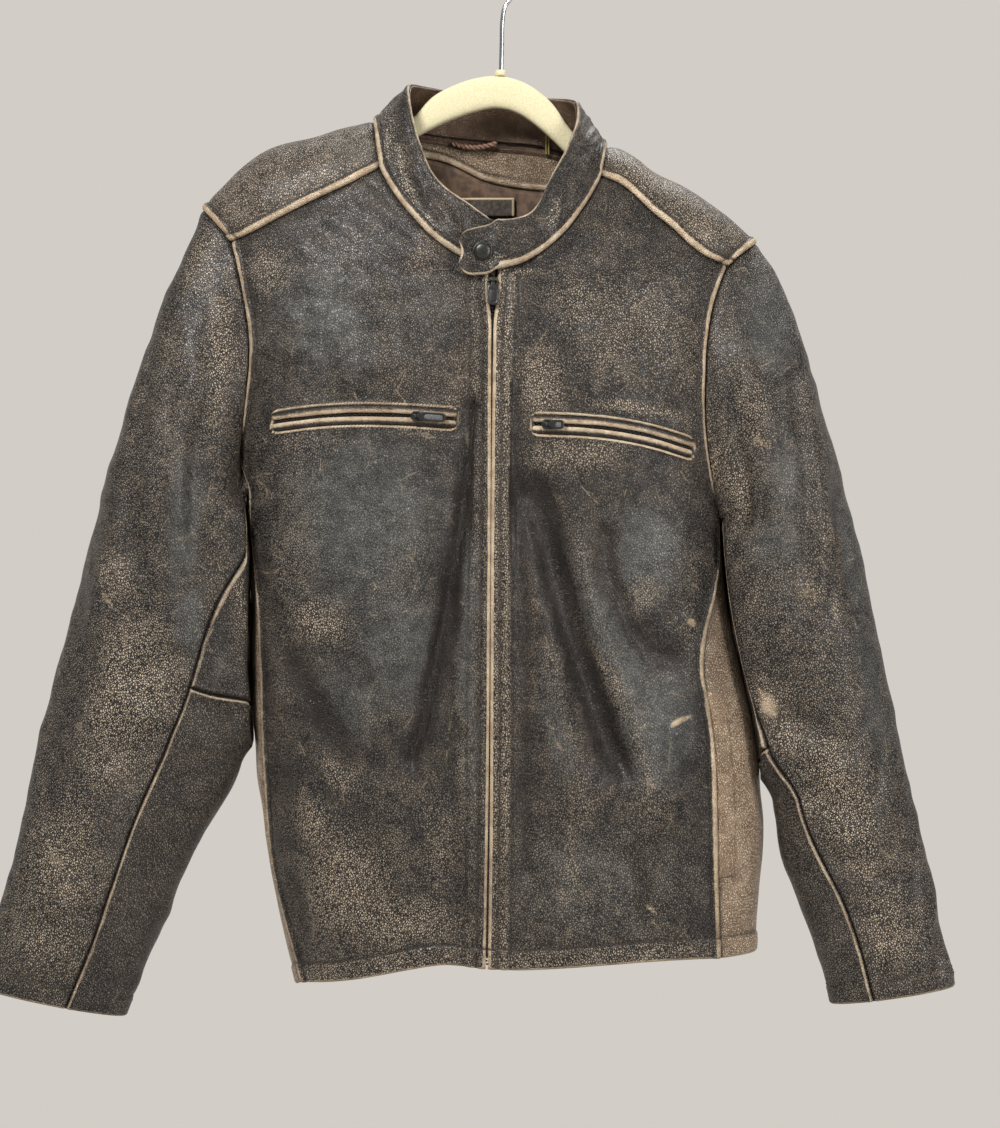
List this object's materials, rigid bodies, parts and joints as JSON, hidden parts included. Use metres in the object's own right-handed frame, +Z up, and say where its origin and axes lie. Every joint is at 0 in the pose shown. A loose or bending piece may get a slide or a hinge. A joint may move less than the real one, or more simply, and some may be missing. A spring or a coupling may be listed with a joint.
{
  "type": "worn leather jacket on a hanger",
  "caption": "Worn leather jacket with a stand collar, zipped front, chest pockets and seamed sleeves, hanging on a flocked hanger with a wire hook.",
  "frame": {"origin": "inner crown of the hanger's hook, where it rests on a rail", "axes": "+Z up, +X to the right of someone who looks at the front, and the front faces -Y"},
  "size_m": [0.7694, 0.1459, 0.851],
  "materials": {
    "worn_leather": "distressed, waxed, semi-gloss",
    "rubbed_leather": "rubbed through to tan, satin",
    "lining_cloth": "brown lining, satin",
    "zip_tape": "woven tape, matt",
    "black_metal": "black-enamelled zinc, worn",
    "gunmetal": "dark oxide, satin",
    "brass": "dull",
    "flocked_plastic": "ivory flock",
    "chrome_wire": "bright"
  },
  "bodies": {
    "jacket": {"back": "worn_leather", "collar_inner": "worn_leather", "collar_outer": "worn_leather", "front_left": "worn_leather", "front_right": "worn_leather", "hand_pocket_welt_left": "worn_leather", "hand_pocket_welt_right": "worn_leather", "hanger_body": "flocked_plastic", "hanger_hook": "chrome_wire", "hanger_nub": "flocked_plastic", "hanging_loop": "worn_leather", "label_patch": "lining_cloth", "lining_back": "lining_cloth", "neck_facing": "worn_leather", "neck_tab": "brass", "pocket_left_slider": "black_metal", "pocket_lip_lower_left": "worn_leather", "pocket_lip_lower_right": "worn_leather", "pocket_lip_upper_left": "worn_leather", "pocket_lip_upper_right": "worn_leather", "pocket_right_slider": "black_metal", "pocket_tape_left": "zip_tape", "pocket_tape_right": "zip_tape", "side_left": "rubbed_leather", "side_right": "rubbed_leather", "sleeve_top_left": "worn_leather", "sleeve_top_right": "worn_leather", "sleeve_under_lower_left": "worn_leather", "sleeve_under_lower_right": "worn_leather", "sleeve_under_upper_left": "worn_leather", "sleeve_under_upper_right": "worn_leather", "snap_cap": "gunmetal", "yoke_left": "rubbed_leather", "yoke_right": "rubbed_leather", "zip_chain": "black_metal", "zip_slider": "black_metal", "zip_tape_left": "zip_tape", "zip_tape_right": "zip_tape"},
    "zip_pull": {"zip_pull": "black_metal"},
    "pocket_right_pull": {"pocket_right_pull": "black_metal"},
    "pocket_left_pull": {"pocket_left_pull": "black_metal"}
  },
  "joints": [
    {"name": "zip_pull_swing", "type": "hinge", "parent": "jacket", "child": "zip_pull", "pos_m": [-0.007, -0.08131, -0.27124], "axis": [-1, 0, 0], "range_deg": [0, 95]},
    {"name": "pocket_right_pull_swing", "type": "hinge", "parent": "jacket", "child": "pocket_right_pull", "pos_m": [-0.06746, -0.09101, -0.3769], "axis": [-0.0678, 0, -0.9977], "range_deg": [0, 150]},
    {"name": "pocket_left_pull_swing", "type": "hinge", "parent": "jacket", "child": "pocket_left_pull", "pos_m": [0.03376, -0.09012, -0.38325], "axis": [-0.0298, 0, -0.9996], "range_deg": [0, 150]}
  ]
}
